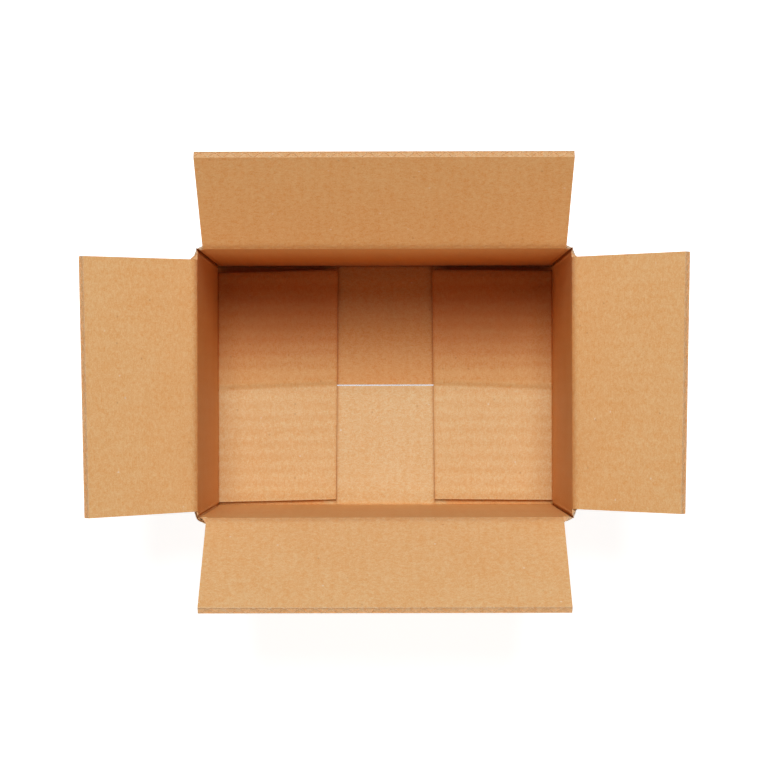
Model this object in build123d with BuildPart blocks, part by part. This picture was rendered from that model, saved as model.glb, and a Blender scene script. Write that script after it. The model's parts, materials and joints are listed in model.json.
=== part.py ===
from build123d import *
import os
from collections import namedtuple
from math import acos, atan2, cos, hypot, pi, radians, sin, tan

# Open shipping carton of corrugated board, a regular slotted container.
# The blank is one sheet, scored and folded into four walls and glued at one
# corner. Its four bottom flaps are shut over a strip of clear tape, and its
# four top flaps stand open and turn on their scores.
# X runs along the box, Y across it towards the back wall, and Z up.
# The origin is under the middle of the box, on the surface it stands on.

# Inside of the shut box
inside_length = 200.0
inside_width = 143.0
inside_depth = 155.0

# Corrugated board, and the air left between two boards that lie flat together
board = 4.0
ply_gap = 0.3

# The side flaps stop this far from each other over the middle of the box
seam_gap = 0.8

# How much narrower the flaps are than the outside of the box, which is what the
# slots between them take away. The top flap of the front panel, next to the
# glued lap, is cut a little narrower than the back one.
top_back_flap_trim = 14.5
top_front_flap_trim = 18.0
bottom_side_flap_trim = 9.0
top_end_flap_trim = 16.5
bottom_end_flap_trim = 13.5

# Cutting errors of the real blank, which show on the end walls. A shift moves
# both flaps of a wall towards the back. A lean, in degrees, carries the free
# end of a flap towards the back, and a skew makes the flap longer there.
left_flaps_shift = -1.1
right_flaps_shift = -0.1
top_left_flap_lean = -0.9
top_right_flap_lean = -0.4
bottom_left_flap_lean = 1.3
bottom_right_flap_lean = 0.5
top_end_flap_skew = 1.5
bottom_end_flap_skew = 0.55

# How far the top flaps stand open, in degrees outwards from upright
end_flap_opening = 45.5
side_flap_opening = 35.2

# A score crushes the board to a wedge on both sides of its line. The flap
# ends in a bead on that line, and the wall in a groove around the bead, which
# runs on past both ends of the flap. Below it the board stays flat for the
# length of its root, also where the corner beside it is rounded.
score_reach = 6.0
score_root = 1.0
score_overrun = 1.0
score_bead = 0.6
score_clearance = 0.3

# Folds, slots and worn corners of the sheet. The foot of a wall reaches a
# little above the bottom slots, so that it joins the wall between them.
corner_radius = 7.0
corner_crease = 1.5
bottom_fold_radius = 3.0
foot_root = 1.0
slot_past_score = 2.0
worn_corner_radius = 2.4

# Glued lap at the front left corner, a tab of the left wall on the front wall
lap_width = 32.0
lap_thickness = 3.0
lap_end_margin = 9.0
lap_end_slope = 15.0

# Clear tape along the bottom seam and up both end walls
tape_width = 48.0
tape_thickness = 0.06
tape_rise = 50.0

half_board = board / 2
outside_length = inside_length + 2 * board
outside_width = inside_width + 2 * board

# Heights: the undersides of the bottom flaps, the floor of the box, the score
# lines of the top flaps and the ends of the slots
side_flap_under = tape_thickness
end_flap_under = side_flap_under + board + ply_gap
floor_height = end_flap_under + board
end_score_height = floor_height + inside_depth + half_board
side_score_height = end_score_height + board + ply_gap
bottom_slot_height = end_flap_under + half_board + slot_past_score
top_slot_height = end_score_height - slot_past_score

# Distance from the middle of the box to the middle of each wall's board, and
# from a score line there to the free end of its flap
end_wall_distance = inside_length / 2 + half_board
side_wall_distance = inside_width / 2 + half_board
flap_length = side_wall_distance - seam_gap / 2

# A flap's width on its score, and its lean and skew towards the fold direction
Flap = namedtuple("Flap", "width lean skew", defaults=(0, 0))
# A wall and its two flaps, with the shift of both along the fold direction
Wall = namedtuple("Wall", "outward distance score_height flap_under top bottom opening shift")

walls = {
    "front": Wall(
        Vector(0, -1, 0), side_wall_distance, side_score_height, side_flap_under,
        Flap(outside_length - top_front_flap_trim),
        Flap(outside_length - bottom_side_flap_trim),
        side_flap_opening, 0,
    ),
    "back": Wall(
        Vector(0, 1, 0), side_wall_distance, side_score_height, side_flap_under,
        Flap(outside_length - top_back_flap_trim),
        Flap(outside_length - bottom_side_flap_trim),
        side_flap_opening, 0,
    ),
    "left": Wall(
        Vector(-1, 0, 0), end_wall_distance, end_score_height, end_flap_under,
        Flap(outside_width - top_end_flap_trim, top_left_flap_lean, top_end_flap_skew),
        Flap(outside_width - bottom_end_flap_trim, bottom_left_flap_lean, bottom_end_flap_skew),
        end_flap_opening, left_flaps_shift,
    ),
    "right": Wall(
        Vector(1, 0, 0), end_wall_distance, end_score_height, end_flap_under,
        Flap(outside_width - top_end_flap_trim, -top_right_flap_lean, -top_end_flap_skew),
        Flap(outside_width - bottom_end_flap_trim, -bottom_right_flap_lean, -bottom_end_flap_skew),
        end_flap_opening, -right_flaps_shift,
    ),
}
up = Vector(0, 0, 1)


def fold_direction(wall):
    """Direction of the wall's folds, to the left seen from outside."""
    return wall.outward.cross(up)


def through_board(wall, opening=0.0):
    """Direction through the board from its inner to its outer face."""
    return wall.outward * cos(radians(opening)) - up * sin(radians(opening))


def fold_middle(wall, height, inwards=0.0):
    """Middle of the wall's flaps at a height, some way in from the middle of its board."""
    away = wall.distance - inwards
    return wall.outward * away + fold_direction(wall) * wall.shift + up * height


def section_plane(wall, height, opening=0.0):
    """Plane across a fold, with local X outwards through the board and local Y along it."""
    return Plane(
        origin=fold_middle(wall, height),
        x_dir=through_board(wall, opening),
        z_dir=fold_direction(wall),
    )


def flap_corners(flap, length, root=0.0):
    """Corners of a flap whose root lies on local X, or a little below it."""
    half_width = flap.width / 2
    slide = length * tan(radians(flap.lean))
    extra = half_width * tan(radians(flap.skew))
    return [
        (-half_width, -root),
        (half_width, -root),
        (half_width + slide, length + extra),
        (slide - half_width, length - extra),
    ]


# The folded sheet: four walls, the glued lap and the four bottom flaps
with BuildPart() as box_body:
    # Walls between the slots, rounded at their upright folds
    with BuildSketch(Plane.XY.offset(bottom_slot_height)):
        RectangleRounded(outside_length, outside_width, corner_radius)
        RectangleRounded(inside_length, inside_width, corner_crease, mode=Mode.SUBTRACT)
    extrude(amount=top_slot_height - bottom_slot_height)

    for name, wall in walls.items():
        # Top of the wall, crushed to a wedge that ends in a groove at the score
        crushed_half = wall.top.width / 2 + score_overrun
        with BuildSketch(section_plane(wall, wall.score_height - score_reach)):
            Rectangle(2 * board, 2 * score_reach, align=(Align.CENTER, Align.MIN))
        extrude(amount=crushed_half, both=True, mode=Mode.SUBTRACT)
        with BuildSketch(section_plane(wall, wall.score_height)):
            with BuildLine():
                Polyline(
                    (0, 0),
                    (half_board, -score_reach),
                    (half_board, -score_reach - score_root),
                    (-half_board, -score_reach - score_root),
                    (-half_board, -score_reach),
                    close=True,
                )
            make_face()
            Circle(score_bead + score_clearance, mode=Mode.SUBTRACT)
        extrude(amount=crushed_half, both=True)

        # Foot of the wall, rounded where the bottom flap folds in
        with BuildSketch(section_plane(wall, wall.flap_under)) as foot:
            foot_height = bottom_slot_height + foot_root - wall.flap_under
            Rectangle(board, foot_height, align=(Align.CENTER, Align.MIN))
            outer_corner = foot.vertices().group_by(Axis.Y)[0].sort_by(Axis.X)[-1]
            fillet(outer_corner, bottom_fold_radius)
        extrude(amount=wall.bottom.width / 2, both=True)

        # Bottom flap, from the wall's inner face to the middle of the box
        flap_top = Plane(
            origin=fold_middle(wall, wall.flap_under + board, inwards=half_board),
            x_dir=fold_direction(wall),
            z_dir=-up,
        )
        with BuildSketch(flap_top) as bottom_flap:
            with BuildLine():
                Polyline(*flap_corners(wall.bottom, flap_length - half_board), close=True)
            make_face()
            if wall.bottom.skew:
                longest_corner = bottom_flap.vertices().sort_by(Axis.Y)[-1]
                fillet(longest_corner, worn_corner_radius)
        extrude(amount=board)

    # Glued lap, bent round the corner fold of the left wall
    lap_low = end_flap_under + lap_end_margin
    lap_high = end_score_height - lap_end_margin
    lap_drop = lap_width * tan(radians(lap_end_slope))
    lap_corner = (-outside_length / 2, -outside_width / 2 - lap_thickness)
    with BuildSketch(Plane.XY.offset(lap_low)) as lap:
        with Locations(lap_corner):
            Rectangle(lap_width, lap_thickness + half_board, align=Align.MIN)
            Rectangle(board, lap_thickness + corner_radius, align=Align.MIN)
        fold_corner = lap.vertices().group_by(Axis.X)[0].sort_by(Axis.Y)[0]
        fillet(fold_corner, corner_radius)
    extrude(amount=lap_high - lap_low)
    front_face = Plane(
        origin=(-outside_length / 2, -outside_width / 2, 0), x_dir=(1, 0, 0), z_dir=(0, -1, 0)
    )
    for end_height, drop in ((lap_low, lap_drop), (lap_high, -lap_drop)):
        with BuildSketch(front_face):
            with BuildLine():
                Polyline(
                    (0, end_height),
                    (lap_width, end_height + drop),
                    (lap_width, end_height),
                    close=True,
                )
            make_face()
        extrude(amount=lap_thickness, mode=Mode.SUBTRACT)


def top_flap(wall):
    """Open top flap, tapered to a bead on its score line."""
    with BuildPart() as flap:
        with BuildSketch(section_plane(wall, wall.score_height, wall.opening)):
            with BuildLine():
                Polyline(
                    (0, 0),
                    (half_board, score_reach),
                    (half_board, flap_length + board),
                    (-half_board, flap_length + board),
                    (-half_board, score_reach),
                    close=True,
                )
            make_face()
            Circle(score_bead)
        extrude(amount=wall.top.width, both=True)
        outline_plane = Plane(
            origin=fold_middle(wall, wall.score_height),
            x_dir=fold_direction(wall),
            z_dir=-through_board(wall, wall.opening),
        )
        with BuildSketch(outline_plane):
            with BuildLine():
                Polyline(*flap_corners(wall.top, flap_length, score_bead), close=True)
            make_face()
        extrude(amount=board, both=True, mode=Mode.INTERSECT)
    return flap


# Where the tape leaves the rounded foot of an end wall for the edge of the
# side flaps, on the line from that edge that just touches the rounding
side_flap_edge = walls["back"].bottom.width / 2
fold_centre_x = -outside_length / 2 + bottom_fold_radius
fold_centre_z = end_flap_under + bottom_fold_radius
edge_x = -side_flap_edge - fold_centre_x
edge_z = side_flap_under - fold_centre_z
touch_angle = atan2(edge_z, edge_x) - acos(bottom_fold_radius / hypot(edge_x, edge_z))
tape_turn = touch_angle + pi
tape_corner_z = fold_centre_z - bottom_fold_radius * tan(tape_turn / 2)

# Clear tape, stuck to the outside of the box
with BuildPart() as bottom_tape:
    with BuildSketch(Plane.XZ):
        with BuildLine() as tape_line:
            Polyline(
                (-outside_length / 2, tape_rise),
                (-outside_length / 2, tape_corner_z),
                (-side_flap_edge, side_flap_under),
                (side_flap_edge, side_flap_under),
                (outside_length / 2, tape_corner_z),
                (outside_length / 2, tape_rise),
            )
            fillet(tape_line.vertices().group_by(Axis.Y)[1], bottom_fold_radius)
            offset(amount=tape_thickness, side=Side.RIGHT)
        make_face()
    extrude(amount=tape_width / 2, both=True)

pieces = {"box_body": box_body, "bottom_tape": bottom_tape}
for name, wall in walls.items():
    pieces[name + "_flap"] = top_flap(wall)

os.makedirs("parts", exist_ok=True)
for name, piece in pieces.items():
    piece.part.label = name
    export_step(piece.part, f"parts/{name}.step")
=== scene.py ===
import json
from collections import namedtuple
from math import cos, exp, hypot, pi, radians, sin, tan

import bmesh
import bpy
from mathutils import Matrix, Vector

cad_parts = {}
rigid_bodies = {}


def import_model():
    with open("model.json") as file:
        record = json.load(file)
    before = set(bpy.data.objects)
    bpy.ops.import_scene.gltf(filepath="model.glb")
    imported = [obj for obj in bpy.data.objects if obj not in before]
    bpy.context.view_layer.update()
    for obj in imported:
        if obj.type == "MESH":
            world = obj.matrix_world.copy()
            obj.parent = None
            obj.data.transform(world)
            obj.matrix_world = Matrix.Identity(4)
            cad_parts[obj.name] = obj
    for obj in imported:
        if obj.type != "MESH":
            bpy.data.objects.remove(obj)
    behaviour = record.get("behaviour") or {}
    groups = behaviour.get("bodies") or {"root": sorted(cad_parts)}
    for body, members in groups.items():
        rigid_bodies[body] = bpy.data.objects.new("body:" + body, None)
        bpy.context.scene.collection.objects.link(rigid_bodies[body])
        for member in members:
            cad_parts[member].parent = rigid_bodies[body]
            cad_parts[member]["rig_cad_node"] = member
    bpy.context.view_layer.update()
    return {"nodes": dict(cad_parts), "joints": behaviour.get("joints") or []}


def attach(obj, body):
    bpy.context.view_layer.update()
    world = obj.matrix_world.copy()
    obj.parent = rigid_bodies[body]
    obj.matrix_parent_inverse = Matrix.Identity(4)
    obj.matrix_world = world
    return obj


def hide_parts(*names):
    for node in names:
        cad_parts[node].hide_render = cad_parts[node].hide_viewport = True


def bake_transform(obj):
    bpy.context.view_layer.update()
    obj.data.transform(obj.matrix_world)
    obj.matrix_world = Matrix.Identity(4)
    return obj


# Open shipping carton of C-flute board. Each board is modelled flat, with its
# two liners and its wavy medium, and is then folded up to its place.
# In a flat board X runs across the flutes, Y through the board from its inner
# to its outer face, and Z along the flutes from a cut end.

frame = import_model()
MM = 0.001
UP = Vector((0, 0, 1))

# Corrugated board. Its plies are a liner, air, the medium, air and a liner.
BOARD = 4.0 * MM
HALF = BOARD / 2
LINER = 0.42 * MM
MEDIUM = 0.4 * MM
PLIES = 5
FLUTE_PITCH = 7.82 * MM
FLUTE_STEPS = 8
LINER_SAG = 0.04 * MM
END_HOLLOW = 0.45 * MM
SIDE_HOLLOW = 0.4 * MM
GLUE_LINE = 0.02 * MM
WAVE_HEIGHT = HALF - LINER - MEDIUM / 2 - GLUE_LINE

# The shut box, its flaps and its slots
INSIDE_LENGTH = 200.0 * MM
INSIDE_WIDTH = 143.0 * MM
OUTSIDE_LENGTH = INSIDE_LENGTH + 2 * BOARD
OUTSIDE_WIDTH = INSIDE_WIDTH + 2 * BOARD
SEAM_GAP = 0.8 * MM
FLAP_LENGTH = (INSIDE_WIDTH + BOARD - SEAM_GAP) / 2
FLAP_FREE_END = INSIDE_LENGTH / 2 + HALF - FLAP_LENGTH
SIDE_FLAP_UNDER = 0.06 * MM
END_FLAP_UNDER = 4.36 * MM
SLOT_BOTTOM = 8.36 * MM
SLOT_PAST_SCORE = 2.0 * MM

# Upright folds of the walls. Their inner liner has a crease with a groove in
# its middle and a bead on both sides, at shares of the way round the corner.
# Near the slots the fold is crushed thin and pinched from both walls.
CORNER_RADIUS = 7.0 * MM
CORNER_FLAT_LENGTH = 9.0 * MM
CORNER_CREASE = 0.8 * MM
CORNER_GROOVE = 1.5 * MM
GROOVE_REACH = 0.1
GROOVE_START = 15.0 * MM
CORNER_BEAD = 0.45 * MM
BEAD_PLACE = 0.29
BEAD_REACH = 0.09
CORNER_CRUSH = 0.85
CORNER_CRUSH_REACH = 26.0 * MM
PINCH_START = 2.5 * MM
PINCH_CHANGE = 4.0 * MM

# A flap's width, its lean and skew along its fold, in degrees, and its shift
Flap = namedtuple("Flap", "width lean skew shift", defaults=(0, 0, 0))
TOP_FLAPS = {
    "front": Flap(190.0 * MM),
    "back": Flap(193.5 * MM),
    "left": Flap(134.5 * MM, -0.9, 1.5),
    "right": Flap(134.5 * MM, 0.4, -1.5),
}
BOTTOM_FLAPS = {
    "front": Flap(201.8 * MM),
    "back": Flap(201.8 * MM),
    "left": Flap(137.5 * MM, 1.3, 0.55, -1.1 * MM),
    "right": Flap(137.5 * MM, -0.5, -0.55, 0.1 * MM),
}

# Top folds, from the wall below the score to the flap above it, with a crushed
# board and small scallops where the flutes are pressed in
FOLD_BELOW = 1.85 * MM
FOLD_ABOVE = {"front": 6.5 * MM, "back": 6.5 * MM, "left": 2.4 * MM, "right": 2.4 * MM}
CRUSH_INNER = 0.12
CRUSH_OUTER = 0.75
CRUSH_REACH = 2.4 * MM
CRUSH_REACH_ON_WALL = 0.9 * MM
SCALLOP = 0.16 * MM
SCALLOP_PLACE = 1.6 * MM
SCALLOP_REACH = 1.5 * MM

# Bottom folds
FLOOR_FOLD_RADIUS = 2.6 * MM
END_FLOOR_FOLD_RADIUS = 2.0 * MM
FLOOR_CRUSH = 0.35
END_FLOOR_CRUSH = 1.0
FLOOR_CRUSH_REACH = 1.0 * MM
WORN_CORNER = 2.4 * MM

# Spacing of the cross lines along a board, close together near its folds
FINE_STEP = 0.5 * MM
TOP_FINE_REACH = 7.0 * MM
FLOOR_FINE_REACH = 6.0 * MM
FLOOR_COARSE_STEPS = 40
WALL_FINE_REACH = 32.0 * MM
WALL_STEP = 12.0 * MM
LAP_STATIONS = (0.0, 0.03, 0.06, 0.1, 0.15, 0.3, 0.5, 0.7, 0.9, 1.0)

# The floor of the box slopes down to the seam, the front half gently and the
# back half close to it. The seam marks the end flaps above it with a slanting crease.
FRONT_SLOPE = tan(radians(1.4))
FRONT_SLOPE_REACH = 62.0 * MM
BACK_SLOPE_RISE = 0.9 * MM
BACK_SLOPE_REACH = 16.0 * MM
BACK_SLOPE_PART = 0.7
BACK_SLOPE_AT_SEAM = 0.15
SLOPE_END = 9.0 * MM
RISE_SIDE_REACH = 14.0 * MM
SEAM_CREASE = 0.65 * MM
SEAM_CREASE_HALF_WIDTH = 1.5 * MM
SEAM_CREASE_START = -0.5 * MM
SEAM_CREASE_SLANT = 2.5 * MM
SEAM_CREASE_END = 0.97
SEAM_CREASE_FADE = 0.06

# Painted light and shade on the inner liner, as tints: paler where the box is open
# to the light, and darker and warmer deep in it where shade falls. A painted shade
# darkens the tint round a place, as far as its reach.
PLAIN_TONE = Vector((1, 1, 1))
# Painted light of the open top flaps: the front flap lighter and the back flap darker, by how the light
# falls on them
TOP_FLAP_PAINTED_LIGHT = {
    "front": Vector((1.07, 1.14, 1.24)),
    "back": Vector((1.0, 0.92, 0.84)),
    "left": Vector((1.01, 1.03, 1.06)),
    "right": Vector((1.01, 1.03, 1.06)),
}
# Painted light of the walls: the front wall lighter and the back wall darker, by how the light falls on
# them
WALL_PAINTED_LIGHT = {
    "front": Vector((1.15, 1.2, 1.12)),
    "back": Vector((0.93, 0.7, 0.5)),
    "side": Vector((1.08, 0.98, 0.84)),
}
# Painted shade towards the foot of the back wall, deep in the box
BACK_FOOT_SHADE = Vector((0.78, 0.88, 1.6))
BACK_FOOT_HEIGHT = 70.0 * MM
# Painted shade towards the back of the side walls
SIDE_BACK_SHADE = Vector((0.86, 0.84, 0.98))
SIDE_BACK_START = 25.0 * MM
SIDE_BACK_CHANGE = 40.0 * MM
# Painted shade in the upright corner creases
CORNER_SHADE = Vector((0.62, 0.44, 0.3))
CORNER_SHADE_REACH = 1.1 * MM
# Painted shade of a second crease line on the back wall, beside the back corners
SECOND_CREASE_SHADE = Vector((0.8, 0.66, 0.52))
SECOND_CREASE_PLACE = 2.4 * MM
SECOND_CREASE_REACH = 0.7 * MM
# Painted light of the front and back floor flaps: the front one lighter, the back one darker in shade
FLOOR_PAINTED_LIGHT = {"front": Vector((0.98, 1.22, 1.48)), "back": Vector((0.95, 0.93, 0.87))}
# Painted light of the end flaps: lighter in front of the seam crease, painted shade behind it and darker
# still towards the back wall
END_FLOOR_FRONT_PAINTED_LIGHT = Vector((0.96, 1.14, 1.3))
END_FLOOR_BACK_PAINTED_SHADE = Vector((0.94, 0.99, 0.97))
END_FLOOR_FAR_PAINTED_SHADE = Vector((0.9, 0.76, 0.64))
END_FLOOR_CHANGE = 30.0 * MM
# Painted shade on the floor, in a band towards the back wall
DEEP_SHADE = Vector((0.95, 0.82, 0.68))
DEEP_SHADE_REACH = 15.0 * MM
DEEP_PLACE = 33.0 * MM
END_DEEP_PLACE = 42.0 * MM
# Painted shade in the crease that the seam presses into the end flaps
CREASE_SHADE = 0.1
CREASE_SHADE_PLACE = 1.7 * MM
# Painted shade in the bottom folds of the end flaps, at the foot of the end walls
FOLD_SHADE = Vector((0.8, 0.42, 0.22))
# Painted shade along the free ends of the end flaps
FREE_END_SHADE = Vector((0.93, 0.8, 0.68))
FREE_END_REACH = 0.5 * MM
# Painted shadow on the front and back floor flaps beside the free ends of the end flaps
FREE_END_GAP_SHADE = Vector((0.76, 0.54, 0.4))
FREE_END_GAP_REACH = 0.8 * MM
# Painted shadow along the back edges of the end flaps, at the gap to the back wall
BACK_EDGE_SHADE = Vector((0.45, 0.3, 0.35))
BACK_EDGE_REACH = 0.9 * MM
FLOOR_STRIPES = Vector((0.01, 0.03, 0.045))
# Painted shade on the front and back floor flaps where the end flaps cover them
COVERED_PAINTED_SHADES = {"front": Vector((1.0, 0.85, 0.7)), "back": Vector((0.75, 0.52, 0.42))}
COVERED_FROM = 34.0 * MM
TONE_CHANGE = 5.0 * MM

# Glued lap on the outside of the front wall, at the left corner
LAP_WIDTH = 32.0 * MM
LAP_THICKNESS = 3.0 * MM
LAP_LOW = 13.36 * MM
LAP_HIGH = 156.36 * MM
LAP_SLOPE = 15.0
LAP_FOLD_RADIUS = 10.0 * MM
LAP_PULL_LEFT = 2.1 * MM
LAP_PULL_FRONT = 3.8 * MM
LAP_CRUSH = 0.6
LAP_CRUSH_REACH = 45.0 * MM
LAP_CRUSH_FADE = 5.0 * MM

# Edges that turn further than this stay sharp
SHARP_ANGLE = radians(40)

# Camera, from a fit of the box's outline in the photograph
PHOTO_WIDTH_PIXELS = 768
FOCAL_LENGTH_PIXELS = 2419
CAMERA_PLACE = Vector((2.3, -10.2, 1455.8)) * MM
CAMERA_TURNS = ((0.43, "X"), (0.12, "Y"), (-0.12, "Z"))

Wall = namedtuple("Wall", "name outward along hinge opening half_inside")
walls = {}
for joint in frame["joints"]:
    wall_name = joint["name"].split("_")[0]
    hinge_axis = Vector(joint["axis"])
    walls[wall_name] = Wall(
        wall_name, hinge_axis.cross(UP), -hinge_axis, Vector(joint["pos_m"]),
        radians(-joint["range_deg"][0] - 90),
        INSIDE_LENGTH / 2 if wall_name in ("left", "right") else INSIDE_WIDTH / 2,
    )
SLOT_TOP = walls["left"].hinge.z - SLOT_PAST_SCORE


def smooth(t):
    """Smooth step of a value that is held between 0 and 1."""
    t = min(max(t, 0.0), 1.0)
    return t * t * (3 - 2 * t)


def bell(distance, reach):
    """Bell curve that is 1 at its middle and has fallen to 0.37 at its reach."""
    return exp(-((distance / reach) ** 2))


def flute_phase(x):
    return 2 * pi * x / FLUTE_PITCH


def sagged(x, y):
    """Through-board place of a liner that sags between the flutes that carry it."""
    if abs(y) < HALF * 0.999:
        return y
    crest = cos(flute_phase(x))
    return y - LINER_SAG * (0.5 - 0.5 * crest) if y > 0 else y + LINER_SAG * (0.5 + 0.5 * crest)


def ply_height(ply, x):
    """Height through the board of the border below each of its plies."""
    crest = WAVE_HEIGHT * cos(flute_phase(x))
    return (-HALF, LINER - HALF, crest - MEDIUM / 2, crest + MEDIUM / 2, HALF - LINER, HALF)[ply]


def push_in(bm, faces, move):
    """Sinks a patch of faces, and leaves walls round it."""
    sunk = bmesh.ops.extrude_face_region(bm, geom=faces)["geom"]
    bmesh.ops.delete(bm, geom=[face for face in faces if face.is_valid], context="FACES")
    verts = [item for item in sunk if isinstance(item, bmesh.types.BMVert)]
    bmesh.ops.translate(bm, verts=verts, vec=move)


def flat_board(width, stations, closed=False):
    """Flat board with a cut end at the first station, and its sides cut unless it closes on itself."""
    bm = bmesh.new()
    ply_layer = bm.verts.layers.int.new("ply")
    columns = max(8, round(width / FLUTE_PITCH * FLUTE_STEPS))
    bmesh.ops.create_grid(bm, x_segments=columns, y_segments=PLIES, size=1)
    span = max(vert.co.x for vert in bm.verts)
    for vert in bm.verts:
        ply = round((vert.co.y / span + 1) / 2 * PLIES)
        x = vert.co.x / span * width / 2
        vert[ply_layer] = ply
        vert.co = (x, ply_height(ply, x), stations[0])

    def hollows(faces):
        return [f for f in faces if {v[ply_layer] for v in f.verts} in ({1, 2}, {3, 4})]

    push_in(bm, hollows(bm.faces), Vector((0, 0, END_HOLLOW)))
    border = [edge for edge in bm.edges if edge.is_boundary]
    if closed:
        border = [e for e in border if len({v[ply_layer] for v in e.verts}) == 1]
        ends = [f for f in bm.faces if all(abs(abs(v.co.x) - width / 2) < 1e-7 for v in f.verts)]
        bmesh.ops.delete(bm, geom=ends, context="FACES")
    for station in stations[1:]:
        grown = bmesh.ops.extrude_edge_only(bm, edges=border)["geom"]
        new_verts = {item for item in grown if isinstance(item, bmesh.types.BMVert)}
        for vert in new_verts:
            vert.co.z = station
        border = [
            item for item in grown
            if isinstance(item, bmesh.types.BMEdge) and set(item.verts) <= new_verts
        ]
    if closed:
        bmesh.ops.bridge_loops(bm, edges=border)
        return bm
    bmesh.ops.edgeloop_fill(bm, edges=border)
    for side in (-1, 1):
        edge_x = side * width / 2
        side_faces = [
            f for f in bm.faces if all(abs(v.co.x - edge_x) < 1e-7 for v in f.verts)
        ]
        cut = [f for f in hollows(side_faces) if min(v.co.z for v in f.verts) > stations[0] + END_HOLLOW]
        push_in(bm, cut, Vector((-side * SIDE_HOLLOW, 0, 0)))
    return bm


LINER_FACE, CUT_FACE, HOLLOW_FACE = 0, 1, 2


def mark_faces(bm):
    """Sorts the flat faces into liner faces, cut edges and the hollows between the plies."""
    ply_layer = bm.verts.layers.int["ply"]
    for face in bm.faces:
        plies = {vert[ply_layer] for vert in face.verts}
        if plies in ({0}, {PLIES}):
            face.material_index = LINER_FACE
        elif plies in ({0, 1}, {2, 3}, {4, 5}) or len(plies) == 6:
            face.material_index = CUT_FACE
        else:
            face.material_index = HOLLOW_FACE


def folded(name, bm, place, tone=None):
    """Makes a piece of a flat board, with its flat place as UVs and each point folded to its place.
    A tone tints the inner liner with painted light and shade."""
    mark_faces(bm)
    ply_layer = bm.verts.layers.int["ply"]
    # The tone colour layer holds the painted light and shade of the inner liner
    painted_light_layer = bm.verts.layers.float_color.new("tone")
    flat_map = bm.loops.layers.uv.new("flat")
    for face in bm.faces:
        for loop in face.loops:
            loop[flat_map].uv = (loop.vert.co.x, loop.vert.co.z)
    for vert in bm.verts:
        x, y, z = vert.co
        vert.co = place(x, sagged(x, y), z)
        tint = tone(vert.co) if tone and vert[ply_layer] == 0 else PLAIN_TONE
        vert[painted_light_layer] = (*tint, 1)
    bmesh.ops.remove_doubles(bm, verts=bm.verts, dist=0.0005 * MM)
    bmesh.ops.recalc_face_normals(bm, faces=bm.faces)
    mesh = bpy.data.meshes.new(name)
    bm.to_mesh(mesh)
    bm.free()
    mesh.shade_smooth()
    mesh.set_sharp_from_angle(angle=SHARP_ANGLE)
    piece = bpy.data.objects.new(name, mesh)
    bpy.context.scene.collection.objects.link(piece)
    return piece


def wall_painted_light(point):
    """Painted light and shade on the inner liner of the wall that is nearest to a point: a lighter front
    wall and a darker back wall, painted shade towards the back of the side walls, at the foot of the back
    wall, beside the back corners and in the corner creases.
    """
    from_end = INSIDE_LENGTH / 2 - abs(point.x)
    from_side = INSIDE_WIDTH / 2 - abs(point.y)
    if from_end < from_side:
        tint = WALL_PAINTED_LIGHT["side"]
        back = smooth((point.y - SIDE_BACK_START) / SIDE_BACK_CHANGE)
        tint = tint * PLAIN_TONE.lerp(SIDE_BACK_SHADE, back)
    elif point.y < 0:
        tint = WALL_PAINTED_LIGHT["front"]
    else:
        tint = WALL_PAINTED_LIGHT["back"]
        tint = tint * PLAIN_TONE.lerp(BACK_FOOT_SHADE, smooth(1 - point.z / BACK_FOOT_HEIGHT))
        second = bell(from_end - SECOND_CREASE_PLACE, SECOND_CREASE_REACH)
        tint = tint * PLAIN_TONE.lerp(SECOND_CREASE_SHADE, second)
    crease = bell(max(from_end, from_side, 0.0), CORNER_SHADE_REACH)
    return tint * PLAIN_TONE.lerp(CORNER_SHADE, crease)


# Painted light of a top flap: its wall's painted light and shade below the slots, and above them the flap's
# lighter or darker copy
def top_flap_painted_light(name):
    def tone(point):
        return wall_painted_light(point).lerp(TOP_FLAP_PAINTED_LIGHT[name], smooth((point.z - SLOT_TOP) / TONE_CHANGE))
    return tone


def crease_share(point):
    """How far a point of an end flap lies along the crease over the seam, from 0 at its free end."""
    return (abs(point.x) - FLAP_FREE_END) / (FLAP_LENGTH - HALF)


def crease_middle(point):
    """Place across the floor of the crease over the seam."""
    return SEAM_CREASE_START - SEAM_CREASE_SLANT * crease_share(point)


def free_edge(point):
    """Distance from the middle of the box to the free end of the end flap on a point's side."""
    wall = walls["left" if point.x < 0 else "right"]
    return FLAP_FREE_END - wall.along.y * point.y * tan(radians(BOTTOM_FLAPS[wall.name].skew))


def back_edge(wall, flap, point):
    """Place across the floor of the back edge of an end flap."""
    reach = wall.half_inside + HALF - abs(point.x)
    return flap.width / 2 + wall.along.y * (reach * tan(radians(flap.lean)) + flap.shift)


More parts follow.
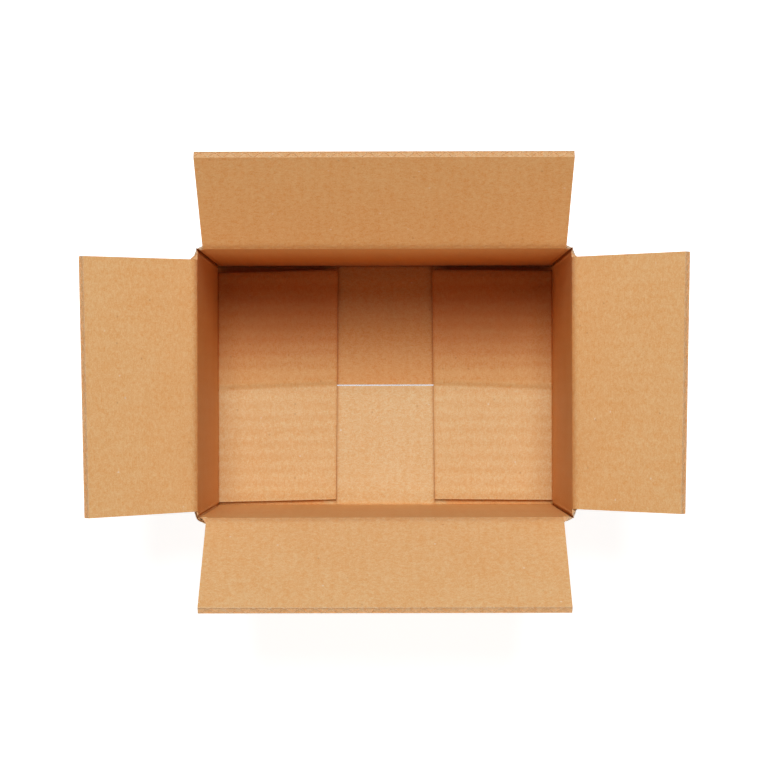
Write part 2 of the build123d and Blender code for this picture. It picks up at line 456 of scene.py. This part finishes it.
# Painted light and shade on the inner liner of a bottom flap
def floor_flap_painted_light(name):
    # Painted light and shade of an end flap: lighter in front of the seam crease and darker behind it, with
    # painted shade in the crease, deep towards the back wall, in the bottom fold, along the free end and at
    # the back edge, and stripes at the flute pitch
    def end_flap_painted_light(point):
        past_crease = point.y - crease_middle(point)
        tint = END_FLOOR_BACK_PAINTED_SHADE.lerp(END_FLOOR_FAR_PAINTED_SHADE, smooth(past_crease / END_FLOOR_CHANGE))
        tint = END_FLOOR_FRONT_PAINTED_LIGHT.lerp(tint, smooth(past_crease / SEAM_CREASE_HALF_WIDTH + 0.5))
        tint = tint * (1 - CREASE_SHADE * bell(past_crease - CREASE_SHADE_PLACE, SEAM_CREASE_HALF_WIDTH))
        tint = tint * PLAIN_TONE.lerp(DEEP_SHADE, bell(point.y - END_DEEP_PLACE, DEEP_SHADE_REACH))
        fold = smooth((abs(point.x) - INSIDE_LENGTH / 2) / MM + 1)
        tint = tint * PLAIN_TONE.lerp(FOLD_SHADE, fold)
        tint = tint * PLAIN_TONE.lerp(FREE_END_SHADE, bell(abs(point.x) - free_edge(point), FREE_END_REACH))
        past_edge = point.y - back_edge(walls[name], BOTTOM_FLAPS[name], point)
        tint = tint * PLAIN_TONE.lerp(BACK_EDGE_SHADE, bell(past_edge, BACK_EDGE_REACH))
        return tint * (PLAIN_TONE + FLOOR_STRIPES * cos(flute_phase(point.y)))

    # Painted light and shade of the front or back floor flap: its lighter or darker copy, painted shade
    # under the end flaps, towards the back wall and beside the end flaps' free ends, blending into its
    # wall's painted light at the foot
    def side_flap_painted_light(point):
        covered = smooth((abs(point.x) - COVERED_FROM) / TONE_CHANGE)
        tint = FLOOR_PAINTED_LIGHT[name].lerp(COVERED_PAINTED_SHADES[name], covered)
        tint = tint * PLAIN_TONE.lerp(DEEP_SHADE, bell(point.y - DEEP_PLACE, DEEP_SHADE_REACH))
        gap = bell(abs(point.x) - free_edge(point), FREE_END_GAP_REACH)
        tint = tint * PLAIN_TONE.lerp(FREE_END_GAP_SHADE, gap)
        return tint.lerp(wall_painted_light(point), smooth((abs(point.y) - INSIDE_WIDTH / 2) / TONE_CHANGE + 0.6))

    return side_flap_painted_light if name in FLOOR_PAINTED_LIGHT else end_flap_painted_light


def stretched(flap, x, reach):
    """Place of a point of a leaning, skewed flap along its fold, and its distance from the fold."""
    reach *= 1 + x * tan(radians(flap.skew)) / FLAP_LENGTH
    return x + reach * tan(radians(flap.lean)), reach


def top_flap_place(wall, flap):
    """Folds a flat board into an open top flap and the top of its wall, along a soft curve."""
    flap_direction = UP * cos(wall.opening) + wall.outward * sin(wall.opening)
    above = FOLD_ABOVE[wall.name]

    def place(x, y, z):
        past = z - FLAP_LENGTH
        crush = bell(past, CRUSH_REACH_ON_WALL if past > 0 else CRUSH_REACH)
        y *= 1 - crush * (CRUSH_OUTER if y > 0 else CRUSH_INNER)
        if y < 0:
            y += SCALLOP * bell(past + SCALLOP_PLACE, SCALLOP_REACH) * cos(flute_phase(x))
        if past <= -above:
            x, reach = stretched(flap, x, -past)
            across = flap_direction * reach
            direction = flap_direction
        elif past >= FOLD_BELOW:
            across = -UP * past
            direction = UP
        else:
            share = (FOLD_BELOW - past) / (FOLD_BELOW + above)
            across = flap_direction * (above * share ** 2) - UP * (FOLD_BELOW * (1 - share) ** 2)
            direction = (flap_direction * (above * share) + UP * (FOLD_BELOW * (1 - share))).normalized()
            x = stretched(flap, x, above * share ** 2)[0]
        normal = direction.cross(wall.along)
        return wall.hinge + wall.along * x + across + normal * y

    return place


def floor_rise(point):
    """How far the bottom flaps bow up at a point of the floor."""
    from_seam = abs(point.y)
    if point.y < 0:
        rise = FRONT_SLOPE * min(from_seam, FRONT_SLOPE_REACH)
    else:
        climbed = from_seam / BACK_SLOPE_REACH * BACK_SLOPE_PART + BACK_SLOPE_AT_SEAM
        rise = BACK_SLOPE_RISE * smooth(climbed)
        rise -= BACK_SLOPE_RISE * smooth(BACK_SLOPE_AT_SEAM)
    wall = smooth((INSIDE_WIDTH / 2 - from_seam) / SLOPE_END)
    side = smooth((INSIDE_LENGTH / 2 - abs(point.x)) / RISE_SIDE_REACH)
    return rise * wall * side


def seam_crease(point):
    """Depth of the crease that the seam below presses into the end flaps."""
    along = crease_share(point)
    ends = smooth(along / SEAM_CREASE_FADE) * smooth((SEAM_CREASE_END - along) / SEAM_CREASE_FADE)
    return SEAM_CREASE * bell(point.y - crease_middle(point), SEAM_CREASE_HALF_WIDTH) * ends


def worn(x, z, corner_x):
    """Point of a flat flap whose free corner at corner_x is worn round."""
    past_x = abs(x) - abs(corner_x) + WORN_CORNER
    past_z = WORN_CORNER - z
    if x * corner_x < 0 or past_x <= 0 or past_z <= 0:
        return x, z
    share = max(past_x, past_z) / hypot(past_x, past_z)
    kept = abs(corner_x) - WORN_CORNER + past_x * share
    return kept if x > 0 else -kept, WORN_CORNER - past_z * share


def bottom_flap_place(wall, flap, under, radius):
    """Folds a flat board into a shut bottom flap and the foot of its wall."""
    distance = wall.half_inside + HALF
    turn_length = radius * pi / 2
    turn_middle = turn_length / 2 - radius
    back_corner = flap.width / 2 if wall.along.y > 0 else -flap.width / 2
    is_end = wall.name in ("left", "right")
    crush = END_FLOOR_CRUSH if is_end else FLOOR_CRUSH

    def place(x, y, z):
        if is_end:
            x, z = worn(x, z, back_corner)
        past = z - FLAP_LENGTH
        if y < 0:
            y *= 1 - crush * bell(past - turn_middle, FLOOR_CRUSH_REACH)
        if past <= -radius:
            x, reach = stretched(flap, x, -past)
            point = wall.outward * (distance - reach) + UP * (under + HALF - y)
        else:
            turn = min((past + radius) / turn_length, 1.0) * pi / 2
            climb = max(past + radius - turn_length, 0.0)
            normal = wall.outward * sin(turn) - UP * cos(turn)
            point = (
                wall.outward * (distance - radius) + UP * (under + HALF + radius + climb)
                + normal * (radius + y)
            )
        point += wall.along * (x + flap.shift)
        if past <= -radius:
            point.z += floor_rise(point)
            if is_end and y < 0:
                point.z -= seam_crease(point)
        return point

    return place


def stations_to(end, fine_start, fine_step, coarse_steps=8):
    """Stations along a board from 0, far apart at first and close together past fine_start."""
    coarse = [fine_start * i / coarse_steps for i in range(coarse_steps)]
    fine_steps = max(1, round((end - fine_start) / fine_step))
    return coarse + [fine_start + (end - fine_start) * i / fine_steps for i in range(fine_steps + 1)]


def make_top_flaps():
    for name, wall in walls.items():
        flap = TOP_FLAPS[name]
        end = FLAP_LENGTH + wall.hinge.z - SLOT_TOP
        bm = flat_board(flap.width, stations_to(end, FLAP_LENGTH - TOP_FINE_REACH, FINE_STEP))
        piece = folded(name + "_flap_board", bm, top_flap_place(wall, flap), top_flap_painted_light(name))
        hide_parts(name + "_flap")
        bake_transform(piece)


def make_bottom_flaps():
    for name, wall in walls.items():
        flap = BOTTOM_FLAPS[name]
        is_end = name in ("left", "right")
        under = END_FLAP_UNDER if is_end else SIDE_FLAP_UNDER
        radius = END_FLOOR_FOLD_RADIUS if is_end else FLOOR_FOLD_RADIUS
        climb = SLOT_BOTTOM - under - HALF - radius
        end = FLAP_LENGTH - radius + radius * pi / 2 + climb
        stations = stations_to(end, FLAP_LENGTH - FLOOR_FINE_REACH, FINE_STEP, FLOOR_COARSE_STEPS)
        bm = flat_board(flap.width, stations)
        place = bottom_flap_place(wall, flap, under, radius)
        piece = folded(name + "_floor_flap", bm, place, floor_flap_painted_light(name))
        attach(piece, "carton")
        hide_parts("box_body")


# The ring of walls, a whole number of flutes round the box
STRAIGHT_X = OUTSIDE_LENGTH - 2 * CORNER_RADIUS
STRAIGHT_Y = OUTSIDE_WIDTH - 2 * CORNER_RADIUS
STRAIGHT = 2 * STRAIGHT_X + 2 * STRAIGHT_Y
RING_LENGTH = round((STRAIGHT + 4 * CORNER_FLAT_LENGTH) / FLUTE_PITCH) * FLUTE_PITCH
CORNER_LENGTH = (RING_LENGTH - STRAIGHT) / 4


def corner_crush(below, into_corner):
    """How far the walls are crushed at a distance below the slots and into a corner."""
    pinch = smooth((into_corner + PINCH_START) / PINCH_CHANGE)
    return CORNER_CRUSH * smooth(1 - below / CORNER_CRUSH_REACH) * pinch


def corner_point(share, y, below, first, second, centre):
    """Point in the fold between two walls, whose inner liner is pressed into a crease.
    Near the slots the fold has been crushed, and its outer liner lies close to the inner one."""
    turn = share * pi / 2
    outer = centre + (first * cos(turn) + second * sin(turn)) * CORNER_RADIUS
    run = CORNER_RADIUS - BOARD - CORNER_CREASE
    arc = CORNER_CREASE * pi / 2
    walked = share * (2 * run + arc)
    crease_centre = centre + (first + second) * run
    if walked < run:
        inner = centre + first * (CORNER_RADIUS - BOARD) + second * walked
    elif walked > run + arc:
        left = 2 * run + arc - walked
        inner = centre + second * (CORNER_RADIUS - BOARD) + first * left
    else:
        bend = (walked - run) / CORNER_CREASE
        inner = crease_centre + (first * cos(bend) + second * sin(bend)) * CORNER_CREASE
    inset = min(share, 1 - share)
    bead = CORNER_BEAD * bell(inset - BEAD_PLACE, BEAD_REACH)
    above_floor = SLOT_TOP - SLOT_BOTTOM - below
    groove = CORNER_GROOVE * bell(share - 0.5, GROOVE_REACH) * smooth(above_floor / GROOVE_START)
    inner += (first + second).normalized() * (groove - bead)
    return inner.lerp(outer, (y + HALF) / BOARD * (1 - corner_crush(below, inset * CORNER_LENGTH)))


def ring_place(x, y, z):
    """Folds the long flat board of the walls round the box."""
    walked = (x + RING_LENGTH / 2) % RING_LENGTH
    front, right, back, left = (walls[n].outward for n in ("front", "right", "back", "left"))
    height = UP * (SLOT_TOP - z)
    half = Vector((STRAIGHT_X / 2, STRAIGHT_Y / 2, 0))
    for first, second, length in (
        (front, right, STRAIGHT_X), (right, back, STRAIGHT_Y),
        (back, left, STRAIGHT_X), (left, front, STRAIGHT_Y),
    ):
        corner = first + second
        centre = Vector((corner.x * half.x, corner.y * half.y, 0))
        if walked <= length:
            out = (y + HALF) * (1 - corner_crush(z, -min(walked, length - walked)))
            return centre + second * (walked - length) + first * (CORNER_RADIUS - BOARD + out) + height
        walked -= length
        if walked <= CORNER_LENGTH:
            return corner_point(walked / CORNER_LENGTH, y, z, first, second, centre) + height
        walked -= CORNER_LENGTH
    return ring_place(-RING_LENGTH / 2, y, z)


def make_walls():
    drop = SLOT_TOP - SLOT_BOTTOM
    bm = flat_board(RING_LENGTH, stations_to(drop, WALL_FINE_REACH, WALL_STEP), closed=True)
    piece = folded("wall_board", bm, ring_place, wall_painted_light)
    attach(piece, "carton")
    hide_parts("box_body")


def lap_place(x, y, z):
    """Folds the glued lap from the left wall round the corner onto the front wall."""
    front, left = walls["front"].outward, walls["left"].outward
    outer_y = OUTSIDE_WIDTH / 2 + LAP_THICKNESS
    centre = left * (OUTSIDE_LENGTH / 2 - LAP_FOLD_RADIUS) + front * (outer_y - LAP_FOLD_RADIUS)
    arc_length = LAP_FOLD_RADIUS * pi / 2
    walked = x + (LAP_WIDTH - LAP_FOLD_RADIUS + arc_length) / 2
    turn = min(walked / LAP_FOLD_RADIUS, pi / 2)
    past_arc = max(walked - arc_length, 0.0)
    from_corner = LAP_FOLD_RADIUS * (1 - cos(turn)) + past_arc
    drop = from_corner * tan(radians(LAP_SLOPE))
    height = LAP_HIGH - drop - z * (LAP_HIGH - LAP_LOW - 2 * drop)
    normal = left * cos(turn) + front * sin(turn)
    crush = smooth(1 - (SLOT_TOP - height) / LAP_CRUSH_REACH) * smooth(1 - past_arc / LAP_CRUSH_FADE)
    depth = (y - HALF) * LAP_THICKNESS / BOARD * (1 - LAP_CRUSH * crush)
    point = centre + normal * (LAP_FOLD_RADIUS + depth) - left * past_arc
    pull = left * (LAP_PULL_LEFT * cos(turn) ** 2) + front * (LAP_PULL_FRONT * sin(turn) ** 2)
    return point + UP * height - pull * crush


def make_lap():
    width = LAP_WIDTH - LAP_FOLD_RADIUS + LAP_FOLD_RADIUS * pi / 2
    bm = flat_board(width, LAP_STATIONS)
    for vert in bm.verts:
        if 0 < vert.co.z < LAP_STATIONS[1] / 2:
            vert.co.z = END_HOLLOW / (LAP_HIGH - LAP_LOW)
    piece = folded("glued_lap", bm, lap_place)
    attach(piece, "carton")
    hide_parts("box_body")


make_top_flaps()
make_bottom_flaps()
make_walls()
make_lap()


class Nodes:
    """Short way to add and join the nodes of a material or node group."""

    def __init__(self, tree):
        self.tree = tree

    def add(self, kind, inputs=None, **settings):
        node = self.tree.nodes.new(kind)
        for key, value in settings.items():
            setattr(node, key, value)
        for key, value in (inputs or {}).items():
            if isinstance(value, bpy.types.NodeSocket):
                self.tree.links.new(value, node.inputs[key])
            else:
                node.inputs[key].default_value = value
        return node

    def math(self, operation, a, b=0.0, clamp=False):
        return self.add("ShaderNodeMath", {0: a, 1: b}, operation=operation, use_clamp=clamp).outputs[0]

    def noise(self, vector, scale, detail=3.0, roughness=0.55):
        inputs = {"Vector": vector, "Scale": scale, "Detail": detail, "Roughness": roughness}
        return self.add("ShaderNodeTexNoise", inputs).outputs[0]

    def spread(self, value, low, high, to_low=0.0, to_high=1.0):
        inputs = {"Value": value, 1: low, 2: high, 3: to_low, 4: to_high}
        return self.add("ShaderNodeMapRange", inputs, clamp=True).outputs[0]

    def mix(self, factor, a, b, blend="MIX"):
        node = self.add("ShaderNodeMix", data_type="RGBA", blend_type=blend)
        for socket, value in ((node.inputs[0], factor), (node.inputs[6], a), (node.inputs[7], b)):
            if isinstance(value, bpy.types.NodeSocket):
                self.tree.links.new(value, socket)
            else:
                socket.default_value = value
        return node.outputs[2]


def linear(red, green, blue):
    """Linear colour of an sRGB colour given from 0 to 255."""
    def channel(value):
        value /= 255
        return value / 12.92 if value <= 0.04045 else ((value + 0.055) / 1.055) ** 2.4
    return (channel(red), channel(green), channel(blue), 1.0)


def paper_group():
    """Node group for kraft paper: clouds, mottle, fibres, a faint wave of the flutes and specks."""
    group = bpy.data.node_groups.new("kraft_paper", "ShaderNodeTree")
    for name, kind in (
        ("Light", "NodeSocketColor"), ("Dark", "NodeSocketColor"), ("Flutes", "NodeSocketFloat"),
    ):
        group.interface.new_socket(name, in_out="INPUT", socket_type=kind)
    for name, kind in (
        ("Color", "NodeSocketColor"), ("Roughness", "NodeSocketFloat"), ("Height", "NodeSocketFloat"),
    ):
        group.interface.new_socket(name, in_out="OUTPUT", socket_type=kind)
    n = Nodes(group)
    given = n.add("NodeGroupInput").outputs
    place = n.add("ShaderNodeTexCoord").outputs["Object"]
    flat = n.add("ShaderNodeUVMap", uv_map="flat").outputs[0]
    stretch = {0: flat, 1: (0.3, 1.0, 1.0)}
    along_fibres = n.add("ShaderNodeVectorMath", stretch, operation="MULTIPLY").outputs[0]
    clouds = n.noise(place, 38.0, 3.0, 0.6)
    mottle = n.noise(place, 420.0, 3.0, 0.65)
    grain = n.noise(place, 1500.0, 2.0, 0.6)
    fibres = n.noise(along_fibres, 1300.0, 3.0, 0.6)
    across = n.add("ShaderNodeSeparateXYZ", {0: flat}).outputs[0]
    wave = n.math("COSINE", n.math("MULTIPLY", across, 2 * pi / FLUTE_PITCH))
    tone = n.math("ADD", n.spread(clouds, 0.3, 0.7, -0.1, 0.1), 0.5)
    tone = n.math("ADD", tone, n.spread(mottle, 0.3, 0.7, -0.3, 0.3))
    tone = n.math("ADD", tone, n.spread(grain, 0.3, 0.7, -0.45, 0.45))
    tone = n.math("ADD", tone, n.spread(fibres, 0.3, 0.7, -0.24, 0.24))
    flutes = n.math("MULTIPLY", given["Flutes"], 0.04)
    tone = n.math("ADD", tone, n.math("MULTIPLY", wave, flutes), clamp=True)
    color = n.mix(tone, given["Dark"], given["Light"])
    cells = n.add("ShaderNodeTexVoronoi", {"Vector": place, "Scale": 260.0})
    chance = n.add("ShaderNodeSeparateColor", {0: cells.outputs["Color"]}).outputs
    spot = n.spread(cells.outputs["Distance"], 0.08, 0.2, 1.0, 0.0)
    dark_spot = n.math("MULTIPLY", spot, n.math("GREATER_THAN", chance[0], 0.95))
    pale_spot = n.math("MULTIPLY", spot, n.math("GREATER_THAN", chance[1], 0.975))
    color = n.mix(n.math("MULTIPLY", dark_spot, 0.35), color, (0.4, 0.15, 0.05, 1))
    color = n.mix(n.math("MULTIPLY", pale_spot, 0.5), color, (0.85, 0.72, 0.55, 1))
    # The tone attribute holds painted light and shade, which multiplies the paper colour
    tint = n.add("ShaderNodeAttribute", attribute_name="tone").outputs["Color"]
    color = n.mix(1.0, color, tint, "MULTIPLY")
    height = n.math("ADD", n.math("MULTIPLY", grain, 0.5), n.math("MULTIPLY", fibres, 0.5))
    height = n.math("ADD", height, n.math("MULTIPLY", mottle, 0.6))
    rough = n.spread(mottle, 0.3, 0.7, 0.42, 0.52)
    n.add("NodeGroupOutput", {"Color": color, "Roughness": rough, "Height": height})
    return group


PAPER = paper_group()


def paper_material(name, light, dark, flutes, bump):
    """Material of kraft paper between two colours, with the wave of the flutes and a relief."""
    material = bpy.data.materials.new(name)
    material.use_nodes = True
    n = Nodes(material.node_tree)
    shader = material.node_tree.nodes["Principled BSDF"]
    paper = n.add("ShaderNodeGroup", node_tree=PAPER)
    paper.inputs["Light"].default_value = light
    paper.inputs["Dark"].default_value = dark
    paper.inputs["Flutes"].default_value = flutes
    height = {"Height": paper.outputs["Height"], "Strength": bump, "Distance": 0.1 * MM}
    relief = n.add("ShaderNodeBump", height)
    links = material.node_tree.links
    links.new(paper.outputs["Color"], shader.inputs["Base Color"])
    links.new(paper.outputs["Roughness"], shader.inputs["Roughness"])
    links.new(relief.outputs[0], shader.inputs["Normal"])
    shader.inputs["Specular IOR Level"].default_value = 0.08
    return material


liner = paper_material("kraft_liner", linear(230, 188, 134), linear(222, 161, 98), 1.0, 0.12)
cut_edge = paper_material("cut_board_edge", linear(237, 203, 160), linear(226, 171, 115), 0.0, 0.4)
hollow = paper_material("flute_hollow", linear(226, 186, 140), linear(214, 158, 101), 0.0, 0.3)
for piece in bpy.data.objects:
    if piece.type == "MESH" and "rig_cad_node" not in piece:
        for material in (liner, cut_edge, hollow):
            piece.data.materials.append(material)


def tape_material():
    """Clear tape that barely tints what lies behind it, with a slightly rippled gloss."""
    material = bpy.data.materials.new("clear_tape")
    material.use_nodes = True
    n = Nodes(material.node_tree)
    shader = material.node_tree.nodes["Principled BSDF"]
    place = n.add("ShaderNodeTexCoord").outputs["Object"]
    ripple = n.noise(place, 90.0, 3.0, 0.5)
    relief = n.add("ShaderNodeBump", {"Height": ripple, "Strength": 0.25, "Distance": 0.2 * MM})
    tint = n.mix(ripple, linear(205, 160, 108), linear(219, 178, 126))
    links = material.node_tree.links
    links.new(tint, shader.inputs["Base Color"])
    links.new(relief.outputs[0], shader.inputs["Normal"])
    links.new(n.spread(ripple, 0.3, 0.7, 0.1, 0.2), shader.inputs["Roughness"])
    links.new(n.spread(ripple, 0.3, 0.7, 0.09, 0.15), shader.inputs["Alpha"])
    return material


tape = frame["nodes"]["bottom_tape"]
tape.data.materials.clear()
tape.data.materials.append(tape_material())


def white_for_camera(name, diffuse, strength):
    """Matt white that the camera, reflections and clear pieces see as lit paper, with its shadows kept."""
    material = bpy.data.materials.new(name)
    material.use_nodes = True
    n = Nodes(material.node_tree)
    shader = material.node_tree.nodes["Principled BSDF"]
    path = n.add("ShaderNodeLightPath").outputs
    seen = n.math("ADD", path["Is Camera Ray"], path["Is Glossy Ray"], clamp=True)
    seen = n.math("ADD", seen, path["Is Transmission Ray"], clamp=True)
    shader.inputs["Base Color"].default_value = diffuse
    shader.inputs["Roughness"].default_value = 0.9
    shader.inputs["Emission Color"].default_value = (1, 1, 1, 1)
    material.node_tree.links.new(n.math("MULTIPLY", seen, strength), shader.inputs["Emission Strength"])
    return material


def make_floor():
    bm = bmesh.new()
    bmesh.ops.create_grid(bm, x_segments=1, y_segments=1, size=6.0)
    mesh = bpy.data.meshes.new("floor")
    bm.to_mesh(mesh)
    bm.free()
    floor = bpy.data.objects.new("floor", mesh)
    bpy.context.scene.collection.objects.link(floor)
    mesh.materials.append(white_for_camera("pale_floor", (0.8, 0.8, 0.8, 1), 0.74))


def area_light(name, place, size, power, aim=(0, 0, 0.1)):
    data = bpy.data.lights.new(name, "AREA")
    data.shape = "ELLIPSE"
    data.size, data.size_y = size
    data.energy = power
    light = bpy.data.objects.new(name, data)
    light.location = place
    light.rotation_euler = (Vector(place) - Vector(aim)).to_track_quat("Z", "Y").to_euler()
    bpy.context.scene.collection.objects.link(light)


def make_world(strength):
    world = bpy.data.worlds.new("studio")
    world.use_nodes = True
    bpy.context.scene.world = world
    n = Nodes(world.node_tree)
    path = n.add("ShaderNodeLightPath").outputs
    seen = n.math("ADD", path["Is Camera Ray"], path["Is Transmission Ray"], clamp=True)
    strength_now = n.spread(seen, 0.0, 1.0, strength, 1.0)
    background = world.node_tree.nodes["Background"]
    background.inputs["Color"].default_value = (1, 1, 1, 1)
    world.node_tree.links.new(strength_now, background.inputs["Strength"])


def make_camera():
    """Camera straight above the box, a little askew."""
    data = bpy.data.cameras.new("camera")
    data.sensor_width = 36.0
    data.lens = FOCAL_LENGTH_PIXELS / PHOTO_WIDTH_PIXELS * data.sensor_width
    data.clip_end = 50
    camera = bpy.data.objects.new("camera", data)
    turn = Matrix.Identity(4)
    for angle, axis in CAMERA_TURNS:
        turn = turn @ Matrix.Rotation(radians(angle), 4, axis)
    camera.matrix_world = Matrix.Translation(CAMERA_PLACE) @ turn
    bpy.context.scene.collection.objects.link(camera)
    bpy.context.scene.camera = camera


make_floor()
area_light("overhead_light", (0, 0.67, 2.3), (0.68, 0.82), 41)
area_light("front_light", (0, -2.1, 1.5), (1.2, 0.8), 15)
make_world(0.13)
make_camera()
bpy.context.scene.view_settings.view_transform = "Standard"
